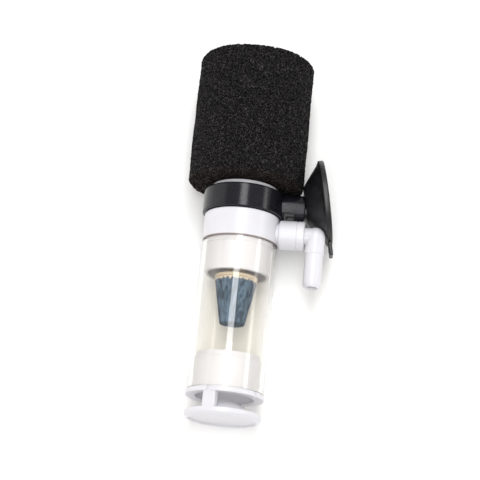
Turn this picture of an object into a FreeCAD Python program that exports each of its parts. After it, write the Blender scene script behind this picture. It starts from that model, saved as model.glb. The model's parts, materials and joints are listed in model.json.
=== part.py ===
import FreeCAD, Part
import math
import os
import Sketcher

# A small air-driven sponge filter for an aquarium, lying on its side.
#
# Every piece is drawn in the filter's own frame: +Y runs along the riser tube
# from the outlet disc (Y = 0) to the sponge, and +X is the direction in which
# that piece's side arm or port points.  A placement then turns each piece
# about the tube's axis to its own clock position and lays the filter down.

App = FreeCAD
doc = FreeCAD.newDocument("SpongeFilter")

# ---------------------------------------------------------------- dimensions
DIMENSIONS = [
    # alias, millimetres or degrees, what it is
    ("past", 1.0, "how far a cutting tool runs past what it cuts"),
    ("push_gap", 0.05, "gap at the end of a push fit"),
    ("tube_outer", 10.0, "riser tube, outer radius"),
    ("tube_inner", 8.8, "riser tube, inner radius"),
    ("tube_foot", 7.4, "riser tube, lower end"),
    ("tube_head", 47.5, "riser tube, upper end"),
    ("plug_outer", 8.75, "what slides into the tube, outer radius"),
    ("disc_outer", 10.0, "outlet disc, outer radius"),
    ("disc_face", 9.2, "outlet disc, radius of its flat rim"),
    ("disc_round", 1.0, "outlet disc, height of its rounded edge"),
    ("disc_edge", 0.3, "outlet disc, height of its straight edge"),
    ("disc_top", 2.1, "outlet disc, inner face"),
    ("disc_recess", 8.7, "outlet disc, radius of the shallow recess"),
    ("disc_recess_depth", 0.5, "outlet disc, depth of that recess"),
    ("dome_base", 7.0, "deflector, base radius"),
    ("dome_top", 5.4, "deflector, top"),
    ("dome_flat", 1.2, "deflector, radius of its flat top"),
    ("dome_round", 7.5, "deflector, radius of its curve"),
    ("pillar_inner", 7.7, "outlet pillars, inner side"),
    ("pillar_outer", 9.9, "outlet pillars, outer side"),
    ("pillar_width", 3.4, "outlet pillars, width"),
    ("pillar_count", 2, "outlet pillars, how many"),
    ("pillar_root", 0.4, "outlet pillars, how far they run into disc and flange"),
    ("flange_foot", 6.0, "outlet flange, lower face"),
    ("flange_outer", 10.25, "outlet flange, outer radius"),
    ("flange_head", 7.35, "outlet flange, upper face"),
    ("notch_width", 1.2, "flange notches, width"),
    ("notch_depth", 0.5, "flange notches, depth from the edge"),
    ("notch_count", 2, "flange notches, how many"),
    ("notch_step", -74.0, "second flange notch, degrees from the first"),
    ("water_bore", 7.6, "radius of the water way"),
    ("insert_step", 15.5, "outlet insert, where it steps in"),
    ("insert_step_outer", 8.3, "outlet insert, radius above the step"),
    ("insert_step_rise", 0.4, "outlet insert, height of the step"),
    ("insert_head", 17.0, "outlet insert, upper end"),
    ("stone_foot", 25.5, "air stone, narrow end"),
    ("stone_foot_outer", 3.35, "air stone, radius of the narrow end"),
    ("stone_head", 37.4, "air stone, wide end"),
    ("stone_head_outer", 5.65, "air stone, radius of the wide end"),
    ("stone_round", 0.5, "air stone, rounding of the narrow end"),
    ("socket_radius", 1.6, "sockets for the air stem, radius"),
    ("socket_head", 31.4, "air stone, top of its socket's blind end"),
    ("stem_radius", 1.55, "air stem, radius in its sockets"),
    ("stem_bore", 0.8, "air stem, bore radius"),
    ("stem_foot", 31.7, "air stem, lower end"),
    ("stem_head", 48.7, "air stem, upper end"),
    ("stem_thick", 2.1, "air stem, radius between its sockets"),
    ("cap_foot", 37.5, "stone cap, lower face"),
    ("cap_rim", 38.4, "stone cap, top of its rim"),
    ("cap_top", 38.9, "stone cap, top of its cone"),
    ("spigot_foot", 38.5, "housing, lower end of its spigot"),
    ("spigot_line", 46.2, "housing, top of the plain spigot"),
    ("spigot_outer", 8.6, "housing, radius of the plain spigot"),
    ("shell_head", 54.9, "housing, top of the wide shell"),
    ("shell_outer", 10.0, "housing, radius of the wide shell"),
    ("neck_outer", 8.9, "housing, radius of the neck inside the ring"),
    ("neck_head", 61.8, "housing, upper end"),
    ("boss_outer", 2.6, "air boss in the middle of the housing, radius"),
    ("boss_foot", 45.5, "air boss, lower end"),
    ("boss_gap", 0.1, "air boss, gap below it to the stem's shoulder"),
    ("boss_head", 53.2, "air boss, upper end"),
    ("boss_bore_head", 51.7, "air boss, top of its bore"),
    ("port_height", 50.7, "air port, where its axis crosses the tube's"),
    ("port_outer", 3.0, "air port, outer radius"),
    ("port_root", 8.4, "air port, its start inside the shell"),
    ("port_end", 13.0, "air port, its end from the tube's axis"),
    ("duct_outer", 2.3, "air duct across the water way, outer radius"),
    ("duct_bore", 1.3, "air duct, bore radius"),
    ("collar_start", 10.3, "collar nut, inner end"),
    ("collar_end", 17.1, "collar nut, outer end"),
    ("collar_outer", 3.9, "collar nut, outer radius"),
    ("collar_bore", 3.02, "collar nut, bore over the port"),
    ("collar_round", 0.4, "collar nut, rounding of both ends"),
    ("collar_lip", 15.3, "collar nut, inner face of its lip"),
    ("collar_eye", 2.45, "collar nut, hole in the lip"),
    ("collar_line", 15.0, "collar nut, start of the fine groove"),
    ("collar_line_width", 0.25, "collar nut, width of the groove"),
    ("collar_line_depth", 0.15, "collar nut, depth of the groove"),
    ("seal_middle", 13.6, "seal ring, distance of its plane from the axis"),
    ("seal_mean", 2.15, "seal ring, mean radius"),
    ("seal_section", 0.5, "seal ring, section radius"),
    ("elbow_start", 14.2, "elbow, inner end of its flange"),
    ("elbow_flange", 2.95, "elbow, flange radius"),
    ("elbow_flange_length", 1.0, "elbow, flange thickness"),
    ("elbow_outer", 2.4, "elbow's stub and nipple, outer radius"),
    ("elbow_body", 2.6, "elbow's corner, outer radius"),
    ("elbow_body_end", 4.9, "elbow's corner, from the port's axis to the nipple's root"),
    ("elbow_taper", 0.2, "elbow's corner, length of the taper to the nipple"),
    ("elbow_bore", 1.35, "elbow and nipple, bore radius"),
    ("elbow_corner", 19.9, "elbow, nipple's distance from the tube's axis"),
    ("nipple_length", 13.9, "nipple, from the port's axis to its tip"),
    ("nipple_chamfer", 0.9, "nipple, length of its end chamfer"),
    ("nipple_tip", 2.0, "nipple, radius of its tip"),
    ("ring_foot", 55.05, "suction ring, lower face"),
    ("ring_head", 61.5, "suction ring, upper face"),
    ("ring_inner", 8.95, "suction ring, bore radius"),
    ("ring_outer", 10.75, "suction ring, outer radius"),
    ("ring_ease", 0.3, "suction ring, bevel of its outer edges"),
    ("arm_height", 58.5, "ring's arm, where its axis crosses the tube's"),
    ("arm_outer", 4.05, "ring's arm, radius"),
    ("arm_start", 9.8, "ring's arm, inner end inside the ring's wall"),
    ("arm_end", 16.2, "ring's arm, outer end"),
    ("arm_bore", 2.55, "ring's arm, socket radius"),
    ("arm_bore_start", 11.6, "ring's arm, bottom of the socket"),
    ("arm_notch_end", 13.7, "ring's arm, outer end of the notch"),
    ("arm_notch_level", 56.3, "ring's arm, floor of the notch"),
    ("arm_relief_start", 7.85, "ring's arm, start of the trim below the band"),
    ("arm_relief_length", 3.0, "ring's arm, length of that trim"),
    ("arm_cut", 6.0, "ring's arm, height of the blocks that cut it"),
    ("arm_cut_width", 16.0, "ring's arm, width of the blocks that cut it"),
    ("cup_stem", 2.5, "suction cup, stem radius"),
    ("cup_stem_start", 11.8, "suction cup, inner end of the stem"),
    ("cup_start", 16.3, "suction cup, start of its leaning axis along the arm"),
    ("cup_rise", 1.7, "suction cup, its axis above the arm's, towards the sponge"),
    ("cup_twist", 5.0, "suction cup, turn of its axis about the tube's direction"),
    ("cup_seat", 4.4, "suction cup, radius of the seat for the arm's end"),
    ("cup_back", 0.1, "suction cup, back face, along its own axis"),
    ("cup_back_outer", 4.9, "suction cup, radius of the back face"),
    ("cup_shoulder", 0.8, "suction cup, shoulder, along its own axis"),
    ("cup_shoulder_outer", 5.9, "suction cup, radius at the shoulder"),
    ("cup_shoulder_round", 1.2, "suction cup, rounding of the shoulder"),
    ("cup_dome", 4.1, "suction cup, end of the dome, along its own axis"),
    ("cup_dome_outer", 10.2, "suction cup, radius at the end of the dome"),
    ("cup_lip_back", 4.7, "suction cup, back of the lip, along its own axis"),
    ("cup_flare_round", 4.0, "suction cup, hollow curve from dome to lip"),
    ("cup_outer", 11.5, "suction cup, radius of the lip"),
    ("cup_face", 6.1, "suction cup, face of the lip, along its own axis"),
    ("cup_mouth", 9.7, "suction cup, radius of the hollow's mouth"),
    ("cup_hollow_floor", 3.0, "suction cup, floor of the hollow, along its own axis"),
    ("cup_hollow_flat", 1.5, "suction cup, radius of the flat in the hollow"),
    ("cup_hollow_round", 14.0, "suction cup, radius of the hollow's curve"),
    ("cup_tilt", 11.5, "suction cup, lean of its axis, degrees"),
    ("dent_room", 0.25, "dent in the cup, gap round the elbow"),
    ("dent_step", 3.5, "dent in the cup, turn between its overlapping cuts"),
    ("dent_count", 4.0, "dent in the cup, how many cuts"),
    ("tab_length", 3.4, "pull tab, length past the lip"),
    ("tab_width", 4.0, "pull tab, width"),
    ("tab_thick", 1.1, "pull tab, thickness"),
    ("core_spigot", 7.55, "strainer core, radius of its spigot"),
    ("core_spigot_foot", 58.0, "strainer core, lower end"),
    ("core_spigot_bore", 6.4, "strainer core, bore of its spigot"),
    ("core_taper_foot", 60.3, "strainer core, where its bore starts to narrow"),
    ("core_flange_head", 62.9, "strainer core, upper face of its flange"),
    ("core_outer", 5.0, "strainer core, tube radius"),
    ("core_bore", 3.9, "strainer core, bore radius"),
    ("core_head", 91.0, "strainer core, closed end"),
    ("core_end_wall", 1.2, "strainer core, thickness of the closed end"),
    ("slot_width", 1.8, "strainer core, slot width"),
    ("slot_start", 66.0, "strainer core, start of the first slots"),
    ("slot_length", 9.5, "strainer core, slot length"),
    ("slot_pitch", 11.5, "strainer core, from one row of slots to the next"),
    ("slot_count", 6, "strainer core, slots round the tube"),
    ("slot_rows", 2, "strainer core, rows of slots"),
    ("sponge_foot", 63.6, "sponge, face by the ring"),
    ("sponge_head", 98.5, "sponge, far face"),
    ("sponge_outer", 15.3, "sponge, radius"),
    ("sponge_round", 1.2, "sponge, rounding of its edges"),
    ("sponge_bore", 5.3, "sponge, radius of the hole"),
    ("sponge_bore_head", 92.0, "sponge, end of the blind hole"),
    ("port_clock", 6.0, "air port, degrees above level"),
    ("arm_clock", -4.0, "ring's arm, degrees above level"),
    ("outlet_clock", 112.0, "first outlet pillar, degrees above level"),
    ("lie_angle", 4.0, "slope of the tube as it lies, degrees"),
]

sheet = doc.addObject("Spreadsheet::Sheet", "Dimensions")
sheet.set("A1", "name")
sheet.set("B1", "value")
sheet.set("C1", "meaning")
for row, (alias, value, meaning) in enumerate(DIMENSIONS, start=2):
    sheet.set("A%d" % row, alias)
    sheet.set("B%d" % row, str(value))
    sheet.set("C%d" % row, meaning)
    sheet.setAlias("B%d" % row, alias)
doc.recompute()


def size(expression):
    """The number that an expression of sheet names comes to."""
    names = {alias: float(sheet.get(alias)) for alias, _, _ in DIMENSIONS}
    total = 0.0
    for term in expression.replace("- ", "+ -").split("+"):
        term = term.strip()
        sign = -1.0 if term.startswith("-") else 1.0
        factor = sign
        for word in term.lstrip("-").split("*"):
            word = word.strip()
            factor *= names[word] if word in names else float(word)
        total += factor
    return total


def bound(expression):
    """The same expression as FreeCAD reads it, with the sheet's name on each alias."""
    words = expression.split(" ")
    known = {alias for alias, _, _ in DIMENSIONS}
    return " ".join("Dimensions." + word if word in known else word for word in words)


# ------------------------------------------------------------ drawing helpers
ORIGIN_POINT = (-1, 1)
LEVEL_AXIS = -1
UPRIGHT_AXIS = -2


def origin_feature(body, role):
    """The body's own origin plane or axis with this role."""
    for feature in body.Origin.OriginFeatures:
        if feature.Role == role:
            return feature
    raise ValueError(role)


def new_body(label):
    body = doc.addObject("PartDesign::Body", label)
    body.Label = label
    return body


def new_sketch(body, name, role, offset=None):
    """A sketch on one of the body's origin planes, moved along its normal."""
    sketch = body.newObject("Sketcher::SketchObject", name)
    sketch.AttachmentSupport = (origin_feature(body, role), [""])
    sketch.MapMode = "FlatFace"
    if offset:
        sketch.setExpression("AttachmentOffset.Base.z", bound(offset))
    return sketch


def place_point(sketch, line, end, across, along):
    """Ties one end of a line to its two sheet dimensions."""
    for axis, kind, expression in ((UPRIGHT_AXIS, "DistanceX", across), (LEVEL_AXIS, "DistanceY", along)):
        value = size(expression)
        if abs(value) < 1e-9:
            sketch.addConstraint(Sketcher.Constraint("PointOnObject", line, end, axis))
            continue
        index = sketch.addConstraint(Sketcher.Constraint(kind, *ORIGIN_POINT, line, end, value))
        sketch.setExpression("Constraints[%d]" % index, bound(expression))


def draw_outline(sketch, corners):
    """A closed outline.  A corner is (x, y), or (x, y, radius) where the edge that
    leaves it is an arc, bulging to the left of the way to the next corner if the
    radius is negative."""
    points = [App.Vector(size(corner[0]), size(corner[1]), 0) for corner in corners]
    count = len(corners)
    ends = []
    for index, corner in enumerate(corners):
        here = points[index]
        there = points[(index + 1) % count]
        if len(corner) == 2:
            edge = sketch.addGeometry(Part.LineSegment(here, there))
            ends.append((edge, 1, 2))
            continue
        radius = size(corner[2].lstrip("-"))
        side = 1.0 if corner[2].startswith("-") else -1.0
        chord = there - here
        left = App.Vector(-chord.y, chord.x, 0).normalize() * side
        sagitta = radius - math.sqrt(radius ** 2 - (chord.Length / 2) ** 2)
        middle = here + chord * 0.5 + left * sagitta
        edge = sketch.addGeometry(Part.Arc(here, middle, there))
        drawn_from_here = sketch.Geometry[edge].StartPoint.distanceToPoint(here) < 1e-6
        ends.append((edge, 1, 2) if drawn_from_here else (edge, 2, 1))
        index = sketch.addConstraint(Sketcher.Constraint("Radius", edge, radius))
        sketch.setExpression("Constraints[%d]" % index, bound(corner[2].lstrip("-")))
    for index, (edge, start, end) in enumerate(ends):
        place_point(sketch, edge, start, corners[index][0], corners[index][1])
        next_edge, next_start, _ = ends[(index + 1) % count]
        sketch.addConstraint(Sketcher.Constraint("Coincident", edge, end, next_edge, next_start))


def draw_circle(sketch, across, along, radius):
    centre = App.Vector(size(across), size(along), 0)
    circle = sketch.addGeometry(Part.Circle(centre, App.Vector(0, 0, 1), size(radius)))
    index = sketch.addConstraint(Sketcher.Constraint("Radius", circle, size(radius)))
    sketch.setExpression("Constraints[%d]" % index, bound(radius))
    place_point(sketch, circle, 3, across, along)


def revolve_sketch(body, name, sketch, axis):
    feature = body.newObject("PartDesign::Revolution", name)
    feature.Profile = sketch
    feature.ReferenceAxis = (origin_feature(body, axis), [""])
    feature.Angle = 360.0
    doc.recompute()


def revolve(body, name, corners, axis="Y_Axis"):
    """Turns an outline in the XY plane right round one of the body's axes."""
    sketch = new_sketch(body, name + "Outline", "XY_Plane")
    draw_outline(sketch, corners)
    revolve_sketch(body, name, sketch, axis)


def pad_circle(body, name, height, radius, start, length):
    """A round bar along +X, on an axis that crosses the tube's at this height."""
    sketch = new_sketch(body, name + "Outline", "YZ_Plane", start)
    draw_circle(sketch, height, "0", radius)
    feature = body.newObject("PartDesign::Pad", name)
    feature.Profile = sketch
    feature.setExpression("Length", bound(length))
    doc.recompute()


def cylinder(name, radius, length, axis, start, height="0"):
    """A round bar along +X or +Y: start is its first end on that axis, and height
    is where a bar along X crosses the tube's axis."""
    bar = doc.addObject("Part::Cylinder", name)
    bar.setExpression("Radius", bound(radius))
    bar.setExpression("Height", bound(length))
    if axis == "X":
        bar.Placement = App.Placement(App.Vector(), App.Rotation(App.Vector(0, 1, 0), 90))
        bar.setExpression("Placement.Base.x", bound(start))
        bar.setExpression("Placement.Base.y", bound(height))
    else:
        bar.Placement = App.Placement(App.Vector(), App.Rotation(App.Vector(1, 0, 0), -90))
        bar.setExpression("Placement.Base.y", bound(start))
    return bar


def fuse(name, pieces):
    joined = doc.addObject("Part::MultiFuse", name)
    joined.Shapes = pieces
    return joined


def cut(name, base, tool):
    left = doc.addObject("Part::Cut", name)
    left.Base = base
    left.Tool = tool
    return left


def finished(piece, node, clock=None, height="0"):
    """Names a sub-part and notes how far it is turned and moved in the filter."""
    piece.Label = node
    angle = size(clock) if clock else 0.0
    turn = App.Rotation(App.Vector(0, 1, 0), -angle)
    PIECES.append((piece, App.Placement(App.Vector(0, size(height), 0), turn)))


PIECES = []


# --------------------------------------------------------------------- pieces
def make_outlet_cap():
    """Insert, flange, pillars, disc and deflector, moulded in one."""
    body = new_body("OutletBody")
    revolve(body, "Insert", [
        ("water_bore", "flange_foot"),
        ("flange_outer", "flange_foot"),
        ("flange_outer", "flange_head"),
        ("plug_outer", "flange_head"),
        ("plug_outer", "insert_step"),
        ("insert_step_outer", "insert_step + insert_step_rise"),
        ("insert_step_outer", "insert_head"),
        ("water_bore", "insert_head"),
    ])
    sketch = new_sketch(body, "PillarOutline", "XY_Plane", "-0.5 * pillar_width")
    draw_outline(sketch, [
        ("pillar_inner", "disc_top - pillar_root"),
        ("pillar_outer", "disc_top - pillar_root"),
        ("pillar_outer", "flange_foot + pillar_root"),
        ("pillar_inner", "flange_foot + pillar_root"),
    ])
    pillar = body.newObject("PartDesign::Pad", "Pillar")
    pillar.Profile = sketch
    pillar.setExpression("Length", bound("pillar_width"))
    doc.recompute()
    pillars = body.newObject("PartDesign::PolarPattern", "Pillars")
    pillars.Originals = [pillar]
    pillars.Axis = (origin_feature(body, "Y_Axis"), [""])
    pillars.Angle = 360
    pillars.setExpression("Occurrences", bound("pillar_count"))
    body.Tip = pillars
    doc.recompute()
    revolve(body, "Disc", [
        ("0", "disc_recess_depth"),
        ("disc_recess", "disc_recess_depth"),
        ("disc_recess", "0"),
        ("disc_face", "0", "disc_round"),
        ("disc_outer", "disc_round"),
        ("disc_outer", "disc_round + disc_edge"),
        ("disc_face", "disc_top"),
        ("dome_base", "disc_top", "dome_round"),
        ("dome_flat", "dome_top"),
        ("0", "dome_top"),
    ])
    notches = []
    for number in range(int(size("notch_count"))):
        notch = doc.addObject("Part::Box", "FlangeNotch%d" % (number + 1))
        notch.setExpression("Length", bound("notch_depth + past"))
        notch.setExpression("Width", bound("notch_depth"))
        notch.setExpression("Height", bound("notch_width"))
        turn = App.Rotation(App.Vector(0, 1, 0), -number * size("notch_step"))
        corner = App.Vector(size("flange_outer - notch_depth"), size("flange_head - notch_depth"),
                            -size("notch_width") / 2)
        notch.Placement = App.Placement(turn.multVec(corner), turn)
        notches.append(notch)
    finished(cut("OutletCap", body, fuse("FlangeNotches", notches)), "outlet_cap",
             "outlet_clock")


def make_clear_tube():
    body = new_body("TubeBody")
    revolve(body, "Wall", [
        ("tube_inner", "tube_foot"),
        ("tube_outer", "tube_foot"),
        ("tube_outer", "tube_head"),
        ("tube_inner", "tube_head"),
    ])
    finished(body, "clear_tube")


def make_air_stone():
    body = new_body("StoneBody")
    revolve(body, "Stone", [
        ("0", "stone_foot"),
        ("stone_foot_outer - stone_round", "stone_foot", "stone_round"),
        ("stone_foot_outer", "stone_foot + stone_round"),
        ("stone_head_outer", "stone_head"),
        ("socket_radius", "stone_head"),
        ("socket_radius", "socket_head"),
        ("0", "socket_head"),
    ])
    finished(body, "air_stone")


def make_stone_holder():
    """The hollow stem that carries air to the stone, with the cap above it."""
    body = new_body("HolderBody")
    revolve(body, "Stem", [
        ("stem_bore", "stem_foot"),
        ("stem_radius", "stem_foot"),
        ("stem_radius", "cap_foot"),
        ("stone_head_outer", "cap_foot"),
        ("stone_head_outer", "cap_rim"),
        ("stem_thick", "cap_top"),
        ("stem_thick", "boss_foot - boss_gap"),
        ("stem_radius", "boss_foot - boss_gap"),
        ("stem_radius", "stem_head"),
        ("stem_bore", "stem_head"),
    ])
    finished(body, "stone_holder")


def make_housing():
    """The white body between tube and sponge, with the air duct across it."""
    body = new_body("HousingBody")
    revolve(body, "Shell", [
        ("water_bore", "spigot_foot"),
        ("spigot_outer", "spigot_foot"),
        ("spigot_outer", "spigot_line"),
        ("plug_outer", "spigot_line"),
        ("plug_outer", "tube_head + push_gap"),
        ("shell_outer", "tube_head + push_gap"),
        ("shell_outer", "shell_head"),
        ("neck_outer", "shell_head"),
        ("neck_outer", "neck_head"),
        ("water_bore", "neck_head"),
    ])
    pad_circle(body, "Duct", "port_height", "duct_outer", "0", "port_root")
    pad_circle(body, "Port", "port_height", "port_outer", "port_root", "port_end - port_root")
    revolve(body, "Boss", [
        ("0", "boss_foot"),
        ("boss_outer", "boss_foot"),
        ("boss_outer", "boss_head"),
        ("0", "boss_head"),
    ])
    ways = [
        cylinder("BossBore", "socket_radius", "boss_bore_head - boss_foot + past", "Y",
                 "boss_foot - past"),
        cylinder("DuctBore", "duct_bore", "port_end + past", "X", "0", "port_height"),
    ]
    finished(cut("Housing", body, fuse("AirWays", ways)), "housing", "port_clock")


def make_port_collar():
    """The nut that holds the elbow on the air port.  X runs along the port."""
    body = new_body("CollarBody")
    revolve(body, "Nut", [
        ("collar_start", "collar_bore"),
        ("collar_start", "collar_outer - collar_round", "-collar_round"),
        ("collar_start + collar_round", "collar_outer"),
        ("collar_line", "collar_outer"),
        ("collar_line", "collar_outer - collar_line_depth"),
        ("collar_line + collar_line_width", "collar_outer - collar_line_depth"),
        ("collar_line + collar_line_width", "collar_outer"),
        ("collar_end - collar_round", "collar_outer", "-collar_round"),
        ("collar_end", "collar_outer - collar_round"),
        ("collar_end", "collar_eye"),
        ("collar_lip", "collar_eye"),
        ("collar_lip", "collar_bore"),
    ], "X_Axis")
    finished(body, "port_collar", "port_clock", "port_height")


def make_seal_ring():
    """The rubber ring between the port and the elbow's flange."""
    body = new_body("SealBody")
    sketch = new_sketch(body, "SealSection", "XY_Plane")
    draw_circle(sketch, "seal_middle", "seal_mean", "seal_section")
    revolve_sketch(body, "Seal", sketch, "X_Axis")
    finished(body, "seal_ring", "port_clock", "port_height")


def make_elbow():
    """Flange, stub, rounded corner and air line nipple.  X runs along the port."""
    stub_length = "elbow_corner - elbow_start"
    flange = cylinder("ElbowFlange", "elbow_flange", "elbow_flange_length", "X", "elbow_start")
    stub = cylinder("ElbowStub", "elbow_outer", stub_length, "X", "elbow_start")
    corner = doc.addObject("Part::Sphere", "ElbowCorner")
    corner.setExpression("Radius", bound("elbow_body"))
    corner.setExpression("Placement.Base.x", bound("elbow_corner"))
    nipple = cylinder("Nipple", "elbow_outer", "nipple_length - nipple_chamfer", "Y",
                      "nipple_chamfer - nipple_length")
    nipple.setExpression("Placement.Base.x", bound("elbow_corner"))
    tip = doc.addObject("Part::Cone", "NippleTip")
    tip.setExpression("Radius1", bound("nipple_tip"))
    tip.setExpression("Radius2", bound("elbow_outer"))
    tip.setExpression("Height", bound("nipple_chamfer"))
    tip.Placement = App.Placement(App.Vector(), App.Rotation(App.Vector(1, 0, 0), -90))
    tip.setExpression("Placement.Base.x", bound("elbow_corner"))
    tip.setExpression("Placement.Base.y", "-" + bound("nipple_length"))
    root = cylinder("NippleRoot", "elbow_body", "elbow_body_end - elbow_taper", "Y",
                    "elbow_taper - elbow_body_end")
    root.setExpression("Placement.Base.x", bound("elbow_corner"))
    taper = doc.addObject("Part::Cone", "NippleTaper")
    taper.setExpression("Radius1", bound("elbow_outer"))
    taper.setExpression("Radius2", bound("elbow_body"))
    taper.setExpression("Height", bound("elbow_taper"))
    taper.Placement = App.Placement(App.Vector(), App.Rotation(App.Vector(1, 0, 0), -90))
    taper.setExpression("Placement.Base.x", bound("elbow_corner"))
    taper.setExpression("Placement.Base.y", "-" + bound("elbow_body_end"))
    outside = fuse("ElbowOutside", [flange, stub, corner, root, taper, nipple, tip])
    stub_way = cylinder("StubWay", "elbow_bore", stub_length + " + past", "X",
                        "elbow_start - past")
    bend_way = doc.addObject("Part::Sphere", "BendWay")
    bend_way.setExpression("Radius", bound("elbow_bore"))
    bend_way.setExpression("Placement.Base.x", bound("elbow_corner"))
    nipple_way = cylinder("NippleWay", "elbow_bore", "nipple_length + past", "Y",
                          "-1 * past - nipple_length")
    nipple_way.setExpression("Placement.Base.x", bound("elbow_corner"))
    ways = fuse("ElbowWays", [stub_way, bend_way, nipple_way])
    finished(cut("Elbow", outside, ways), "air_elbow", "port_clock", "port_height")


def make_suction_ring():
    """The black ring round the housing's neck, with the arm for the cup."""
    body = new_body("RingBody")
    revolve(body, "Band", [
        ("ring_inner", "ring_foot"),
        ("ring_outer - ring_ease", "ring_foot"),
        ("ring_outer", "ring_foot + ring_ease"),
        ("ring_outer", "ring_head - ring_ease"),
        ("ring_outer - ring_ease", "ring_head"),
        ("ring_inner", "ring_head"),
    ])
    pad_circle(body, "Arm", "arm_height", "arm_outer", "arm_start", "arm_end - arm_start")
    notch = doc.addObject("Part::Box", "ArmNotch")
    notch.setExpression("Length", bound("arm_notch_end - ring_outer"))
    notch.setExpression("Width", bound("arm_cut"))
    notch.setExpression("Height", bound("arm_cut_width"))
    notch.setExpression("Placement.Base.x", bound("ring_outer"))
    notch.setExpression("Placement.Base.y", bound("arm_notch_level - arm_cut"))
    notch.setExpression("Placement.Base.z", bound("-0.5 * arm_cut_width"))
    relief = doc.addObject("Part::Box", "ArmRelief")
    relief.setExpression("Length", bound("arm_relief_length"))
    relief.setExpression("Width", bound("arm_cut"))
    relief.setExpression("Height", bound("arm_cut_width"))
    relief.setExpression("Placement.Base.x", bound("arm_relief_start"))
    relief.setExpression("Placement.Base.y", bound("ring_foot - arm_cut"))
    relief.setExpression("Placement.Base.z", bound("-0.5 * arm_cut_width"))
    socket = cylinder("ArmSocket", "arm_bore", "arm_end - arm_bore_start + past", "X", "arm_bore_start",
                      "arm_height")
    cuts = fuse("ArmCuts", [notch, relief, socket])
    finished(cut("SuctionRing", body, cuts), "suction_ring", "arm_clock")


def elbow_dents():
    """The room that the elbow takes in the rubber, and on the way out of it, drawn
    from the ring's arm."""
    dents = []
    reach = "elbow_body + dent_room"
    for step in range(int(size("dent_count"))):
        ball = doc.addObject("Part::Sphere", "DentCorner%d" % (step + 1))
        ball.setExpression("Radius", bound(reach))
        ball.setExpression("Placement.Base.x", bound("elbow_corner"))
        stub = cylinder("DentStub%d" % (step + 1), reach, "elbow_corner - collar_start", "X",
                        "collar_start")
        drop = cylinder("DentNipple%d" % (step + 1), reach, "nipple_length + past", "Y",
                        "-1 * past - nipple_length")
        drop.setExpression("Placement.Base.x", bound("elbow_corner"))
        dent = fuse("Dent%d" % (step + 1), [ball, stub, drop])
        clock = size("port_clock - arm_clock") + step * size("dent_step")
        turn = App.Rotation(App.Vector(0, 1, 0), -clock)
        dent.Placement = App.Placement(App.Vector(0, size("port_height - arm_height"), 0), turn)
        dents.append(dent)
    return dents


def make_suction_cup():
    """A rubber cup whose axis leans towards the sponge.  The cup is drawn round its
    own leaning axis, and its stem and seat round the arm's."""
    body = new_body("CupBody")
    revolve(body, "Dome", [
        ("cup_back", "0"),
        ("cup_back", "cup_back_outer", "-cup_shoulder_round"),
        ("cup_shoulder", "cup_shoulder_outer"),
        ("cup_dome", "cup_dome_outer", "cup_flare_round"),
        ("cup_lip_back", "cup_outer"),
        ("cup_face", "cup_outer"),
        ("cup_face", "cup_mouth", "cup_hollow_round"),
        ("cup_hollow_floor", "cup_hollow_flat"),
        ("cup_hollow_floor", "0"),
    ], "X_Axis")
    tab = doc.addObject("Part::Box", "PullTab")
    tab.setExpression("Length", bound("tab_thick"))
    tab.setExpression("Width", bound("tab_length + past"))
    tab.setExpression("Height", bound("tab_width"))
    tab.setExpression("Placement.Base.x", bound("cup_lip_back"))
    tab.setExpression("Placement.Base.y", bound("-1 * cup_outer - tab_length"))
    tab.setExpression("Placement.Base.z", bound("-0.5 * tab_width"))
    cup = fuse("CupAndTab", [body, tab])
    lean = App.Rotation(App.Vector(0, 0, 1), size("cup_tilt"))
    twist = App.Rotation(App.Vector(0, 1, 0), -size("cup_twist"))
    start = App.Vector(size("cup_start"), size("cup_rise"), 0)
    cup.Placement = App.Placement(start, twist.multiply(lean))
    seat = cylinder("CupSeat", "cup_seat", "cup_start - arm_bore_start", "X", "arm_bore_start")
    stem = cylinder("CupStem", "cup_stem", "cup_start - cup_stem_start + past", "X", "cup_stem_start")
    solid = doc.addObject("Part::Fuse", "SuctionCup")
    solid.Base = cut("SeatedCup", cup, fuse("CupCuts", [seat] + elbow_dents()))
    solid.Tool = stem
    finished(solid, "suction_cup", "arm_clock", "arm_height")


def make_strainer_core():
    """The slotted tube inside the sponge.  Its flange keeps the ring on."""
    body = new_body("CoreBody")
    revolve(body, "Core", [
        ("core_spigot_bore", "core_spigot_foot"),
        ("core_spigot", "core_spigot_foot"),
        ("core_spigot", "neck_head"),
        ("neck_outer", "neck_head"),
        ("neck_outer", "core_flange_head"),
        ("core_outer", "core_flange_head"),
        ("core_outer", "core_head"),
        ("0", "core_head"),
        ("0", "core_head - core_end_wall"),
        ("core_bore", "core_head - core_end_wall"),
        ("core_bore", "neck_head"),
        ("core_spigot_bore", "core_taper_foot"),
    ])
    for row in range(int(size("slot_rows"))):
        sketch = new_sketch(body, "SlotOutline%d" % (row + 1), "YZ_Plane")
        start = "slot_start + slot_pitch" if row else "slot_start"
        draw_outline(sketch, [
            (start, "-0.5 * slot_width"),
            (start + " + slot_length", "-0.5 * slot_width"),
            (start + " + slot_length", "0.5 * slot_width"),
            (start, "0.5 * slot_width"),
        ])
        slot = body.newObject("PartDesign::Pocket", "Slot%d" % (row + 1))
        slot.Profile = sketch
        slot.Reversed = True
        slot.setExpression("Length", bound("core_outer + past"))
        doc.recompute()
        ring = body.newObject("PartDesign::PolarPattern", "SlotRing%d" % (row + 1))
        ring.Originals = [slot]
        ring.Axis = (origin_feature(body, "Y_Axis"), [""])
        ring.Angle = 360
        ring.setExpression("Occurrences", bound("slot_count"))
        body.Tip = ring
        doc.recompute()
    finished(body, "strainer_core")


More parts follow.
